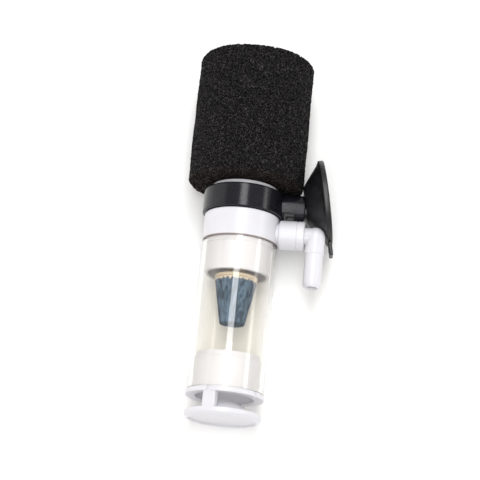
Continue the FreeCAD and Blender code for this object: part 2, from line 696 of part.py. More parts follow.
def make_sponge(standing):
    """The foam sleeve, pressed flat where it lies on the table."""
    body = new_body("SpongeBody")
    revolve(body, "Foam", [
        ("sponge_bore", "sponge_foot"),
        ("sponge_outer - sponge_round", "sponge_foot", "sponge_round"),
        ("sponge_outer", "sponge_foot + sponge_round"),
        ("sponge_outer", "sponge_head - sponge_round", "sponge_round"),
        ("sponge_outer - sponge_round", "sponge_head"),
        ("0", "sponge_head"),
        ("0", "sponge_bore_head"),
        ("sponge_bore", "sponge_bore_head"),
    ])
    table = doc.addObject("Part::Box", "Table")
    table.setExpression("Length", bound("4 * sponge_outer"))
    table.setExpression("Width", bound("2 * sponge_head"))
    table.setExpression("Height", bound("sponge_outer"))
    below = App.Placement(App.Vector(-2 * size("sponge_outer"), 0, -size("sponge_outer")), App.Rotation())
    table.Placement = standing.inverse().multiply(below)
    finished(cut("Sponge", body, table), "sponge")


def lying_placement():
    """Rests the outlet disc's edge on the table, with the tube sloping up to the sponge."""
    slope = math.radians(size("lie_angle"))
    lift = size("disc_outer") * math.cos(slope) - size("disc_round") * math.sin(slope)
    return App.Placement(App.Vector(0, 0, lift), App.Rotation(App.Vector(1, 0, 0), size("lie_angle")))


def whole_box(shapes):
    box = App.BoundBox()
    for shape in shapes:
        box.add(shape.optimalBoundingBox(False, False))
    return box


def check_and_write():
    """Stops on anything that failed, then writes each sub-part's solid."""
    for item in doc.Objects:
        if "Invalid" in item.State or "Error" in item.State:
            raise RuntimeError("%s failed: %s" % (item.Label, item.State))
    for piece, _ in PIECES:
        shape = piece.Shape
        if shape.isNull() or not shape.isValid() or len(shape.Solids) != 1:
            raise RuntimeError("%s has no single valid solid" % piece.Label)
    os.makedirs("parts", exist_ok=True)
    for piece, _ in PIECES:
        piece.Shape.exportStep("parts/%s.step" % piece.Label)


lying = lying_placement()
make_outlet_cap()
make_clear_tube()
make_air_stone()
make_stone_holder()
make_housing()
make_port_collar()
make_seal_ring()
make_elbow()
make_suction_ring()
make_suction_cup()
make_strainer_core()
make_sponge(lying)
doc.recompute()

# Lay every piece down, then centre the whole filter over the origin.
for piece, place in PIECES:
    piece.Placement = lying.multiply(place)
doc.recompute()
box = whole_box([piece.Shape for piece, _ in PIECES])
centring = App.Placement(App.Vector(-box.Center.x, -box.Center.y, 0), App.Rotation())
for piece, place in PIECES:
    piece.Placement = centring.multiply(lying).multiply(place)
doc.recompute()
check_and_write()
for piece, _ in PIECES:
    print("%s %.1f mm3" % (piece.Label, piece.Shape.Volume))
print("size %.2f x %.2f x %.2f mm, lowest %.3f" % (box.XLength, box.YLength, box.ZLength, box.ZMin))
print("tube frame origin %.3f %.3f %.3f" % tuple(centring.multiply(lying).Base))
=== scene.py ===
"""A small air-driven sponge filter for an aquarium, lying on its side.

Each operator below builds one piece, or one group of like pieces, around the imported
frame.  The shapes are drawn in millimetres in the filter's own frame: +Y runs along
the riser tube from the outlet disc to the sponge, +X is level and +Z is up, and the
pieces on a side arm are drawn with +X along that arm.
"""

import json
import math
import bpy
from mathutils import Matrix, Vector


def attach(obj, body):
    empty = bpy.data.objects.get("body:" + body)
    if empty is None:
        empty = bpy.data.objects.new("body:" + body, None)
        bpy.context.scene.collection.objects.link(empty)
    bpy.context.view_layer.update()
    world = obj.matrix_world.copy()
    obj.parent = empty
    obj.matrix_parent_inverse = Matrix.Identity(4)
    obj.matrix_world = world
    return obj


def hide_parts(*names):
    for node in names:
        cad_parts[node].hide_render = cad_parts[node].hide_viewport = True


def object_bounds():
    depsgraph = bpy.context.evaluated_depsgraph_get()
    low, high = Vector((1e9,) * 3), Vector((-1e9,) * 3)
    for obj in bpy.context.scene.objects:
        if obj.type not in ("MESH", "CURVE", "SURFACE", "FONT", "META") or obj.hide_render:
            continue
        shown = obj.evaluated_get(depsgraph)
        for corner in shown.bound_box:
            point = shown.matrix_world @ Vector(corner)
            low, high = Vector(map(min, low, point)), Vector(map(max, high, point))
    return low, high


bl_info = {
    "name": "Sponge filter",
    "version": (1, 0, 0),
    "blender": (4, 5, 0),
    "location": "3D View > Sidebar > Sponge filter",
    "description": "Builds the visible pieces of a small air-driven sponge filter",
    "category": "Object",
}

import bmesh
import bpy
import numpy as np
from bpy.props import FloatProperty, FloatVectorProperty, IntProperty, PointerProperty
from bpy.types import Operator, Panel, PropertyGroup
from mathutils import Matrix, Vector, kdtree, noise

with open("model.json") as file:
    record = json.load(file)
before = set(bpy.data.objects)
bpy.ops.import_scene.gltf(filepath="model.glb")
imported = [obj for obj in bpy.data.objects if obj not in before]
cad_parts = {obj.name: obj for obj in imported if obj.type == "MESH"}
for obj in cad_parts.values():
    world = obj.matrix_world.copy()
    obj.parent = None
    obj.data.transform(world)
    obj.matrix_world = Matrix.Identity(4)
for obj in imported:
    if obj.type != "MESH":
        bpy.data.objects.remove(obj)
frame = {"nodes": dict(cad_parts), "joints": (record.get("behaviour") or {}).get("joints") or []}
CAD_BOX = [list(corner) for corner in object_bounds()]

MM = 0.001
JOINTS = {joint["name"]: joint for joint in frame["joints"]}
ALONG = Vector(JOINTS["sponge_slide"]["axis"]).normalized()
ARM_CROSSING = Vector(JOINTS["ring_turn"]["pos_m"])


def outlet_end(node):
    """How far along the tube from the arm's crossing a CAD node's outlet end lies."""
    return min((v.co - ARM_CROSSING).dot(ALONG) for v in frame["nodes"][node].data.vertices)


FOOT = ARM_CROSSING + outlet_end("outlet_cap") * ALONG


def filter_frame(side):
    """The matrix from millimetres in the filter's frame, +X along side, to the row frame."""
    across = Vector(side).normalized()
    up = across.cross(ALONG)
    columns = Matrix((across * MM, ALONG * MM, up * MM)).transposed().to_4x4()
    return Matrix.Translation(FOOT) @ columns


TUBE_FRAME = filter_frame((1, 0, 0))
ARM_FRAME = filter_frame(JOINTS["cup_pull"]["axis"])
PORT_FRAME = filter_frame(JOINTS["elbow_swivel"]["axis"])
PORT_HEIGHT = (Vector(JOINTS["elbow_swivel"]["pos_m"]) - FOOT).dot(ALONG) / MM
ARM_HEIGHT = (ARM_CROSSING - FOOT).dot(ALONG) / MM
TO_ARM = ARM_FRAME.inverted() @ PORT_FRAME
TO_PORT = TUBE_FRAME.inverted() @ PORT_FRAME

# Levels in millimetres that two pieces share: heights along the tube, then along the arm
GLUE_START = 47.42
SHELL_START = 47.62
NECK_END = 61.8
SOCKET_FLOOR = 11.6

# How the meshes are made
ROUNDING_STEPS = 5
ROUNDING_SHARE = 0.48  # of an edge that a rounding may take
NEARLY_STRAIGHT = math.radians(88)
POLE_STEPS = 16
ON_AXIS = 1e-6
MERGE_DISTANCE = 1e-4

# The foam's surface, in millimetres and features per millimetre
FOAM_SEED = 11
BARE_MARGIN = 0.2  # of the hole's wall that stays smooth
WALL_SHARE = 0.36  # of a cell over which a strut falls away to a pore
WALL_FALL = 1.5
STRUT_LEVEL = 0.75  # height of a strut that lies on the sleeve's radius
UNEVEN = (0.8, 0.5)
UNEVEN_SCALE = 0.9
UNEVEN_FROM = Vector((7, 3, 5))
SWELL = 0.28
SWELL_SCALE = 0.11

# The elbow's dent in the cup: copies turned one after another about the tube
DENT_COPIES = 4
DENT_TURN = math.radians(3.5)
DENT_START = 10.9

# Lights: name, turn about the tube in degrees, distance and size in metres, watts, colour
LIGHTS = (
    ("strip", -2.0, 0.50, (0.15, 0.75), 2.2, (0.97, 0.98, 1.0)),
    ("left fill", -80.0, 0.70, (0.6, 0.8), 1.0, (1.0, 0.97, 0.93)),
    ("right fill", 62.0, 0.60, (0.10, 0.5), 0.5, (1.0, 0.99, 0.97)),
)
LIGHT_LEAN = 0.30  # towards the sponge's end
SKY_COLOUR = (1.0, 0.975, 0.945, 1.0)
SKY_STRENGTH = 0.62
AIM_ASIDE = -0.1 * MM
AIM_ABOVE = 2.07 * MM
FLOOR_RADIUS = 2.5
FLOOR_TURNS = 96


# ------------------------------------------------------------------ settings
def length(label, description, millimetres):
    return FloatProperty(
        name=label,
        description=description,
        default=millimetres * MM,
        min=0.0,
        precision=5,
        subtype="DISTANCE",
        unit="LENGTH",
    )


def colour(label, description, rgb):
    return FloatVectorProperty(
        name=label,
        description=description,
        default=rgb,
        size=3,
        min=0.0,
        max=1.0,
        subtype="COLOR",
    )


def angle(label, description, degrees):
    return FloatProperty(
        name=label,
        description=description,
        default=math.radians(degrees),
        subtype="ANGLE",
        unit="ROTATION",
    )


class FoamSettings(PropertyGroup):
    """Sizes and colours of the foam sleeve."""

    radius: length("Radius", "Outer radius of the sleeve", 15.3)
    start: length("Start", "Height of the face by the ring", 63.6)
    end: length("End", "Height of the far face", 98.5)
    bore: length("Bore", "Radius of the hole for the strainer core", 5.3)
    bore_end: length("Bore end", "Height at which the hole stops", 92.0)
    edge: length("Edge rounding", "Rounding of the two rims", 0.7)
    cell: length("Pore size", "Width of one foam cell", 0.84)
    depth: length("Pore depth", "How deep an open pore goes", 1.05)
    grid: length("Mesh step", "Distance between neighbouring points", 0.245)
    strut: colour("Strut colour", "Foam where its struts catch light", (0.0135, 0.0128, 0.0132))
    # Painted shade: this colour, much darker than the struts, stands in for the shade down in the
    # pores.
    pore_shade: colour("Pore colour", "Foam down in its pores", (0.0025, 0.0022, 0.0022))


class TubeSettings(PropertyGroup):
    """Sizes and colour of the clear riser tube."""

    outer: length("Outer radius", "Outer radius of the tube", 10.0)
    inner: length("Inner radius", "Inner radius of the tube", 8.8)
    start: length("Start", "Height of the lower end", 7.4)
    end: length("End", "Height of the upper end", 47.4)
    tint: colour("Tint", "Colour of the acrylic", (0.865, 0.855, 0.83))


class WhiteSettings(PropertyGroup):
    """Sizes of the white mouldings, and the colours of all the pale ones."""

    shell: length("Shell radius", "Radius of the housing's wide shell", 10.0)
    neck: length("Neck radius", "Radius of the neck inside the ring", 8.9)
    water_way: length("Water way", "Radius of the bore", 7.6)
    disc: length("Disc radius", "Radius of the outlet disc", 10.0)
    dome: length("Dome radius", "Radius of the deflector's base", 7.0)
    pillar: length("Pillar width", "Width of an outlet pillar", 3.4)
    pillar_turn: angle("Pillar turn", "Angle of the first outlet pillar above level", 112.0)
    notch_turn: angle("Notch turn", "Angle of the second flange notch above level", 38.0)
    body: colour("White", "Colour of the white plastic", (0.70, 0.695, 0.73))
    cream: colour("Cream", "Colour of the air stone's holder", (0.78, 0.66, 0.50))
    glue: colour("Glue", "Colour of the line between tube and housing", (0.24, 0.17, 0.16))


class AirlineSettings(PropertyGroup):
    """Sizes of the collar nut and the elbow with its nipple."""

    collar: length("Collar radius", "Outer radius of the collar nut", 3.9)
    pipe: length("Pipe radius", "Outer radius of the stub and nipple", 2.4)
    body: length("Corner radius", "Outer radius of the elbow's corner", 2.6)
    bore: length("Bore", "Radius of the airway", 1.35)
    corner: length("Corner", "Distance of the nipple from the tube's axis", 19.9)
    nipple: length("Nipple length", "From the port's axis to the nipple's tip", 13.9)


class RingSettings(PropertyGroup):
    """Sizes and colour of the black ring and its arm."""

    outer: length("Ring radius", "Outer radius of the ring", 10.75)
    inner: length("Ring bore", "Inner radius of the ring", 8.95)
    start: length("Start", "Height of the ring's lower face", 55.05)
    end: length("End", "Height of the ring's upper face", 61.5)
    arm: length("Arm radius", "Radius of the side arm", 4.05)
    body: colour("Black", "Colour of the black plastic", (0.006, 0.006, 0.009))


class CupSettings(PropertyGroup):
    """Sizes and colour of the suction cup."""

    outer: length("Lip radius", "Radius of the lip", 11.5)
    start: length("Start", "Start of the cup's own axis along the arm", 16.3)
    rise: length("Rise", "The cup's axis above the arm's, towards the sponge", 1.7)
    lean: angle("Lean", "Lean of the cup towards the sponge", 11.5)
    twist: angle("Twist", "Turn of the cup about the tube's direction", 5.0)
    dent: length("Dent radius", "Radius of the dent round the elbow", 2.8)
    tab: length("Tab length", "Length of the pull tab past the lip", 3.4)
    body: colour("Rubber", "Colour of the rubber", (0.006, 0.006, 0.007))


class StoneSettings(PropertyGroup):
    """Sizes and colour of the air stone."""

    narrow: length("Narrow radius", "Radius of the lower end", 3.35)
    wide: length("Wide radius", "Radius of the upper end", 5.65)
    start: length("Start", "Height of the lower end", 25.5)
    end: length("End", "Height of the upper end", 37.4)
    dark: colour("Dark grain", "Darker grain of the stone", (0.014, 0.034, 0.062))
    light: colour("Light grain", "Lighter grain of the stone", (0.105, 0.170, 0.245))


class StageSettings(PropertyGroup):
    """The camera's place and lens, and the floor."""

    aim: length("Aim", "Height along the tube that the camera looks at", 49.07)
    azimuth: angle("Camera azimuth", "Turn of the camera about the vertical", 5.57)
    elevation: angle("Camera elevation", "Height of the camera above level", 69.8)
    distance: length("Camera distance", "From the camera to its aim", 425.6)
    focal: FloatProperty(name="Lens", description="Focal length", default=120.0, unit="CAMERA")
    floor: colour("Floor", "Colour of the floor", (0.97, 0.97, 0.965))
    rings: IntProperty(name="Floor rings", description="Rings in the floor", default=48, min=8)


# -------------------------------------------------------------- mesh helpers
def arc_points(before, corner, after, radius):
    """The points of a fillet at a corner of an outline."""
    back = (before - corner).normalized()
    on = (after - corner).normalized()
    half = math.acos(max(-1.0, min(1.0, back.dot(on)))) / 2
    if half > NEARLY_STRAIGHT:
        return [corner]
    room = ROUNDING_SHARE * min((before - corner).length, (after - corner).length)
    run = min(radius / math.tan(half), room)
    centre = corner + (back + on).normalized() * (run / math.cos(half))
    spokes = (corner + back * run - centre, corner + on * run - centre)
    points = []
    for step in range(ROUNDING_STEPS + 1):
        spoke = spokes[0].lerp(spokes[1], step / ROUNDING_STEPS)
        points.append(centre + spoke.normalized() * spokes[0].length)
    return points


def bulged(start, end, radius, steps):
    """Points on an arc between two outline points; a positive radius bulges to the right."""
    a, b = Vector(start), Vector(end)
    chord = b - a
    side = Vector((chord.y, -chord.x)).normalized()
    if radius < 0:
        side = -side
    drop = math.sqrt(max(radius * radius - chord.length_squared / 4, 0.0))
    centre = (a + b) / 2 - side * drop
    from_a, from_b = a - centre, b - centre
    points = []
    for step in range(1, steps):
        spoke = from_a.lerp(from_b, step / steps)
        points.append(tuple(centre + spoke.normalized() * abs(radius)))
    return points


def outline(corners, closed=True):
    """An outline of (radius, height) or (radius, height, rounding) with its corners rounded."""
    flat = [Vector(c[:2]) for c in corners]
    count = len(flat)
    points = []
    for i, c in enumerate(corners):
        ends = not closed and i in (0, count - 1)
        if len(c) < 3 or ends:
            points.append(flat[i])
        else:
            points += arc_points(flat[i - 1], flat[i], flat[(i + 1) % count], c[2])
    return points


def turned(points, segments=128, closed=True, axis="Y"):
    """A mesh turned from an outline about Y or X.  Points on the axis become poles."""
    bm = bmesh.new()
    rings = []
    for radius, height in points:
        ring = []
        turns = 1 if radius < ON_AXIS else segments
        for k in range(turns):
            a = 2 * math.pi * k / segments
            x, z = radius * math.cos(a), radius * math.sin(a)
            place = (x, height, z) if axis == "Y" else (height, z, x)
            ring.append(bm.verts.new(place))
        rings.append(ring)
    pairs = list(zip(rings, rings[1:]))
    if closed:
        pairs.append((rings[-1], rings[0]))
    for lower, upper in pairs:
        if len(lower) == 1 and len(upper) == 1:
            continue
        for k in range(segments):
            n = (k + 1) % segments
            corners = [lower[k % len(lower)], lower[n % len(lower)]]
            corners += [upper[n % len(upper)], upper[k % len(upper)]]
            bm.faces.new(list(dict.fromkeys(corners)))
    bmesh.ops.recalc_face_normals(bm, faces=bm.faces)
    mesh = bpy.data.meshes.new("turned")
    bm.to_mesh(mesh)
    bm.free()
    return mesh


def solid(corners, segments, axis="Y"):
    """A mesh turned from an open outline that starts and ends on the axis."""
    return turned(outline(corners, closed=False), segments, closed=False, axis=axis)


def ball(radius, segments):
    """A ball about the origin."""
    turns = [math.pi * (k / POLE_STEPS - 0.5) for k in range(POLE_STEPS + 1)]
    arc = [Vector((radius * math.cos(a), radius * math.sin(a))) for a in turns]
    return turned(arc, segments, closed=False)


def block(low, high, turn=None, ease=0.0):
    """A block between two corners, its edges eased, turned by a matrix."""
    bm = bmesh.new()
    bmesh.ops.create_cube(bm, size=1.0)
    low, high = Vector(low), Vector(high)
    for v in bm.verts:
        v.co = (low + high) / 2 + Vector(p * q for p, q in zip(v.co, high - low))
    if ease:
        bmesh.ops.bevel(bm, geom=bm.edges[:], offset=ease, segments=3, affect="EDGES", profile=0.5)
    if turn:
        bmesh.ops.transform(bm, matrix=turn, verts=bm.verts)
    mesh = bpy.data.meshes.new("block")
    bm.to_mesh(mesh)
    bm.free()
    return mesh


def about_along(radians):
    """A turn about the tube's axis, from +X towards +Z."""
    return Matrix.Rotation(-radians, 4, "Y")


def shifted(mesh, x=0.0, y=0.0):
    mesh.transform(Matrix.Translation((x, y, 0.0)))
    return mesh


def carved(mesh, tool, operation):
    """The mesh united with, or cut by, another one."""
    base = bpy.data.objects.new("base", mesh)
    other = bpy.data.objects.new("other", tool)
    for o in (base, other):
        bpy.context.scene.collection.objects.link(o)
    modifier = base.modifiers.new("carve", "BOOLEAN")
    modifier.operation = operation
    modifier.solver = "EXACT"
    modifier.object = other
    view = bpy.context.evaluated_depsgraph_get()
    view.update()
    result = bpy.data.meshes.new_from_object(base.evaluated_get(view))
    bpy.data.objects.remove(base)
    bpy.data.objects.remove(other)
    return result


def united(mesh, *tools):
    for tool in tools:
        mesh = carved(mesh, tool, "UNION")
    return mesh


def cut(mesh, *tools):
    for tool in tools:
        mesh = carved(mesh, tool, "DIFFERENCE")
    return mesh


def settle(name, mesh, matrix, body, material, nodes=(), crease=32.0):
    """Makes a piece of a mesh in the filter's frame and puts it on its body."""
    bm = bmesh.new()
    bm.from_mesh(mesh)
    bmesh.ops.remove_doubles(bm, verts=bm.verts, dist=MERGE_DISTANCE)
    bmesh.ops.dissolve_degenerate(bm, edges=bm.edges, dist=MERGE_DISTANCE)
    bmesh.ops.recalc_face_normals(bm, faces=bm.faces)
    bm.to_mesh(mesh)
    bm.free()
    mesh.transform(matrix)
    mesh.name = name
    mesh.shade_smooth()
    mesh.set_sharp_from_angle(angle=math.radians(crease))
    mesh.materials.clear()
    mesh.materials.append(material)
    piece = bpy.data.objects.new(name, mesh)
    bpy.context.scene.collection.objects.link(piece)
    weights = piece.modifiers.new("Even shading", "WEIGHTED_NORMAL")
    weights.keep_sharp = True
    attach(piece, body)
    if nodes:
        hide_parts(*nodes)
    return piece


# ---------------------------------------------------------- material helpers
class Recipe:
    """Builds one node material, with its pattern in millimetres on the piece."""

    def __init__(self, name):
        self.material = bpy.data.materials.new(name)
        self.material.use_nodes = True
        self.tree = self.material.node_tree
        self.shader = self.tree.nodes["Principled BSDF"]
        self.output = self.tree.nodes["Material Output"]
        self.place = self.add("ShaderNodeTexCoord").outputs["Object"]

    def add(self, kind, inputs=(), **settings):
        made = self.tree.nodes.new(kind)
        for key, value in settings.items():
            setattr(made, key, value)
        for key, value in dict(inputs).items():
            self.feed(made.inputs[key], value)
        return made

    def feed(self, socket, value):
        if isinstance(value, bpy.types.NodeSocket):
            self.tree.links.new(value, socket)
        else:
            socket.default_value = value

    def set(self, **inputs):
        for key, value in inputs.items():
            self.feed(self.shader.inputs[key.replace("_", " ")], value)

    def spread(self, scale):
        """The place on the piece, with each millimetre stretched by scale."""
        size = [s / MM for s in scale] if hasattr(scale, "__len__") else [scale / MM] * 3
        return self.add("ShaderNodeMapping", {"Vector": self.place, "Scale": size}).outputs[0]

    def grain(self, scale, detail=3.0, roughness=0.55):
        """Noise between 0 and 1, with scale features per millimetre."""
        inputs = {
            "Vector": self.spread(scale),
            "Scale": 1.0,
            "Detail": detail,
            "Roughness": roughness,
        }
        return self.add("ShaderNodeTexNoise", inputs).outputs["Fac"]

    def ramp(self, value, *stops):
        """A colour ramp; stops are (position, (r, g, b))."""
        made = self.add("ShaderNodeValToRGB", {"Fac": value})
        line = made.color_ramp.elements
        while len(line) < len(stops):
            line.new(0.5)
        for element, (position, shade) in zip(line, stops):
            element.position = position
            element.color = (*shade, 1.0)
        return made.outputs["Color"]

    def between(self, value, low, high):
        """The value's 0 to 1 as low to high."""
        inputs = {"Value": value, "To Min": low, "To Max": high}
        return self.add("ShaderNodeMapRange", inputs).outputs["Result"]

    def rising(self, value, start, end):
        """0 up to the start and 1 from the end on."""
        inputs = {"Value": value, "From Min": start, "From Max": end}
        return self.add("ShaderNodeMapRange", inputs).outputs["Result"]

    def maths(self, operation, first, second):
        return self.add("ShaderNodeMath", {0: first, 1: second}, operation=operation).outputs[0]

    def blend(self, share, first, second):
        """The first colour where the share is 0, and the second where it is 1."""
        inputs = {"Factor": share, "A": first, "B": second}
        return self.add("ShaderNodeMix", inputs, data_type="RGBA").outputs["Result"]

    def bump(self, height, strength, distance):
        inputs = {"Height": height, "Strength": strength, "Distance": distance * MM}
        return self.add("ShaderNodeBump", inputs).outputs["Normal"]


def tinted(rgb, factor):
    return tuple(min(1.0, c * factor) for c in rgb)


def scaled(rgb, factors):
    return tuple(c * k for c, k in zip(rgb, factors))


def white_plastic(name, rgb):
    """Glossy moulded plastic with a faint flow mottle and a slightly uneven gloss."""
    r = Recipe(name)
    mottle = r.grain(0.22, 2.0)
    haze = r.grain(0.5, 2.0)
    r.set(Base_Color=r.ramp(mottle, (0.35, tinted(rgb, 0.96)), (0.65, tinted(rgb, 0.985))))
    r.set(Roughness=r.between(haze, 0.29, 0.31), IOR=1.50)
    return r.material


def black_plastic(name, rgb):
    """Semi-gloss black plastic with rubbed streaks running round the piece."""
    r = Recipe(name)
    streak = r.grain((0.35, 5.5, 0.35), 3.0)
    patch = r.grain(0.5, 3.0)
    r.set(Base_Color=r.ramp(streak, (0.40, tinted(rgb, 0.8)), (0.72, tinted(rgb, 1.9))))
    wear = r.maths("MULTIPLY", streak, patch)
    r.set(Roughness=r.between(wear, 0.10, 0.36))
    r.set(Normal=r.bump(streak, 0.30, 0.06))
    r.set(IOR=1.5, Specular_IOR_Level=0.34)
    return r.material


def rubber(name, rgb):
    """Soft black rubber, slightly dusty, with a fine skin."""
    r = Recipe(name)
    dust = r.grain(0.6, 4.0)
    skin = r.grain(7.0, 2.0)
    r.set(Base_Color=r.ramp(dust, (0.42, rgb), (0.75, tinted(rgb, 2.2))))
    r.set(Roughness=r.between(dust, 0.26, 0.48), Specular_IOR_Level=0.5)
    r.set(Normal=r.bump(skin, 0.12, 0.03))
    return r.material


def acrylic(name, rgb):
    """Clear acrylic that lets lamps through to what is inside."""
    r = Recipe(name)
    r.set(Base_Color=(*rgb, 1.0), Transmission_Weight=1.0, IOR=1.49, Roughness=0.0)
    path = r.add("ShaderNodeLightPath").outputs["Is Shadow Ray"]
    clear = r.add("ShaderNodeBsdfTransparent", {"Color": (*tinted(rgb, 1.07), 1.0)}).outputs[0]
    mix = r.add("ShaderNodeMixShader", {0: path, 1: r.shader.outputs[0], 2: clear})
    r.feed(r.output.inputs["Surface"], mix.outputs[0])
    return r.material


def foam(name, strut, pore_shade):
    """Open-cell foam, dull: painted shade down in the pores between struts, painted glints on the
    higher struts, and end faces painted lighter and more brown as painted light.
    """
    r = Recipe(name)
    height = r.add("ShaderNodeAttribute", attribute_name="strut").outputs["Fac"]
    inputs = {"Vector": r.spread(1.0), "Scale": 1.7}
    cells = r.add("ShaderNodeTexVoronoi", inputs, feature="DISTANCE_TO_EDGE").outputs["Distance"]
    thread = r.rising(cells, 0.16, 0.0)
    speck = r.grain(2.2, 3.0, 0.75)
    # Painted light: near the cell walls, speckled and stronger on higher struts, this level rises
    # from the painted shade of the pores, through the strut colour, to a painted glint.
    lit = r.maths("MULTIPLY", thread, r.between(speck, -0.55, 1.55))
    painted_light_level = r.maths("MULTIPLY", lit, r.between(height, 0.35, 1.0))
    # Tones: painted shade for the pores, the foam's own strut colour, and a painted glint seven
    # times brighter than the struts.
    shade_strut_glint = (pore_shade, strut, scaled(strut, (7.0, 6.9, 7.0)))
    # Painted light: the end faces get the same tones 1.5, 1.3 and 1.15 times brighter, a lighter,
    # more brown face painted where light falls on them.
    lit_end_tones = [scaled(shade, (1.5, 1.3, 1.15)) for shade in shade_strut_glint]
    side = r.ramp(painted_light_level, *zip((0.06, 0.24, 0.52), shade_strut_glint))
    end = r.ramp(painted_light_level, *zip((0.04, 0.22, 0.56), lit_end_tones))
    face = r.add("ShaderNodeAttribute", attribute_name="face").outputs["Fac"]
    r.set(Base_Color=r.blend(face, side, end))
    r.set(Roughness=r.between(speck, 0.95, 0.60))
    r.set(Normal=r.bump(painted_light_level, 0.9, 0.35))
    r.set(Specular_IOR_Level=0.12)
    return r.material


def stone_grain(name, dark, light, cream, start, end):
    """Sintered stone with streaks along it, and a ragged cream edge at its wide end."""
    r = Recipe(name)
    streak = r.grain((1.6, 0.16, 1.6), 4.0, 0.65)
    sand = r.grain(4.5, 3.0)
    mixed = r.maths("ADD", streak, r.between(sand, -0.16, 0.16))
    body = r.ramp(mixed, (0.42, dark), (0.60, light))
    split = r.add("ShaderNodeSeparateXYZ", {"Vector": r.place})
    rise = r.maths("MULTIPLY", split.outputs["Z"], ALONG.z / ALONG.y)
    level = r.maths("ADD", split.outputs["Y"], rise)
    wander = r.between(r.grain((2.2, 0.1, 2.2), 2.0), -1.1 * MM, 1.1 * MM)
    edge = r.rising(r.maths("ADD", wander, level), start, end)
    r.set(Base_Color=r.blend(edge, body, (*cream, 1.0)))
    r.set(Roughness=r.between(sand, 0.75, 0.95))
    r.set(Normal=r.bump(sand, 0.7, 0.2))
    return r.material


def finish_of(context, name):
    """One of the finishes that the pieces share, made the first time it is asked for."""
    if name in bpy.data.materials:
        return bpy.data.materials[name]
    settings = context.scene.sponge_filter
    makers = {
        "white_finish": (white_plastic, settings.white.body),
        "cream_finish": (white_plastic, settings.white.cream),
        "glue_finish": (white_plastic, settings.white.glue),
        "black_finish": (black_plastic, settings.ring.body),
        "rubber_finish": (rubber, settings.cup.body),
        "acrylic_finish": (acrylic, settings.tube.tint),
        "foam_finish": (foam, settings.foam.strut, settings.foam.pore_shade),
    }
    maker, *colours = makers[name]
    return maker(name, *colours)


# -------------------------------------------------------------------- sponge
def foam_cells(points, cell, seed):
    """For each point, its distance to the nearest wall between two foam cells."""
    keys = np.unique(np.floor(points / cell).astype(int), axis=0)
    steps = np.array([(i, j, k) for i in (-1, 0, 1) for j in (-1, 0, 1) for k in (-1, 0, 1)])
    keys = np.unique((keys[:, None, :] + steps[None]).reshape(-1, 3), axis=0)
    centres = (keys + np.random.default_rng(seed).random(keys.shape)) * cell
    tree = kdtree.KDTree(len(centres))
    for i, centre in enumerate(centres):
        tree.insert(centre, i)
    tree.balance()
    gaps = np.empty(len(points))
    for i, point in enumerate(points):
        (first, _, near), (second, _, far) = tree.find_n(point, 2)
        gaps[i] = (far * far - near * near) / (2 * (second - first).length)
    return gaps


class SPONGEFILTER_OT_sponge(Operator):
    """Build the foam sleeve with its open pores"""

    bl_idname = "sponge_filter.sponge"
    bl_label = "Sponge"

    def execute(self, context):
        s = context.scene.sponge_filter.foam
        radius, start, end, bore, bore_end, edge, cell, depth, grid = (
            v / MM
            for v in (s.radius, s.start, s.end, s.bore, s.bore_end, s.edge, s.cell, s.depth, s.grid)
        )
        corners = outline([
            (bore, start, 0.6),
            (radius, start, edge),
            (radius, end, edge),
            (0.0, end),
        ], closed=False)
        profile = self.evenly(corners, grid)
        profile += [Vector((0.0, end)), Vector((0.0, bore_end)), Vector((bore, bore_end))]
        mesh = turned(profile, int(2 * math.pi * radius / grid))
        co = self.rows_of(mesh, "co")
        normal = self.rows_of(mesh, "normal")
        out = np.hypot(co[:, 0], co[:, 2])
        shown = (out > bore + BARE_MARGIN) | (co[:, 1] > bore_end + BARE_MARGIN)
        ridge = np.zeros(len(co))
        gaps = foam_cells(co[shown], cell, FOAM_SEED)
        ridge[shown] = 1 - np.clip(gaps / (WALL_SHARE * cell), 0, 1) ** WALL_FALL
        swell = np.array([noise.noise(Vector(p) * SWELL_SCALE) for p in co])
        uneven = np.array([noise.noise(Vector(p) * UNEVEN_SCALE + UNEVEN_FROM) for p in co])
        sunk = (ridge - STRUT_LEVEL) * depth * (UNEVEN[0] + UNEVEN[1] * uneven)
        move = np.where(shown, sunk + SWELL * swell, 0.0)
        co = co + normal * move[:, None]
        mesh.vertices.foreach_set("co", co.ravel())
        mesh.update()
        # This mask picks the end faces, which the foam material paints lighter and more brown as
        # painted light.
        face = np.clip((np.abs(normal[:, 1]) - 0.25) * 2.0, 0.0, 1.0)
        for name, values in (("strut", ridge), ("face", face)):
            layer = mesh.attributes.new(name, "FLOAT", "POINT")
            layer.data.foreach_set("value", values.astype(np.float32))
        mesh.transform(TUBE_FRAME)
        floor = CAD_BOX[0][2]
        for v in mesh.vertices:
            v.co.z = max(v.co.z, floor)
        mesh.name = "sponge_foam"
        mesh.shade_smooth()
        mesh.materials.append(finish_of(context, "foam_finish"))
        piece = bpy.data.objects.new("sponge_foam", mesh)
        context.scene.collection.objects.link(piece)
        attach(piece, "sponge")
        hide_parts("sponge")
        return {"FINISHED"}

    @staticmethod
    def rows_of(mesh, key):
        """The vertices' places or normals, one row each."""
        flat = np.empty(len(mesh.vertices) * 3)
        mesh.vertices.foreach_get(key, flat)
        return flat.reshape(-1, 3)

    @staticmethod
    def evenly(points, step):
        """The same line with points about one step apart."""
        made = [points[0]]
        for a, b in zip(points, points[1:]):
            pieces = max(1, round((b - a).length / step))
            made += [a.lerp(b, (i + 1) / pieces) for i in range(pieces)]
        return [p for p in made if p.x > 0.05]


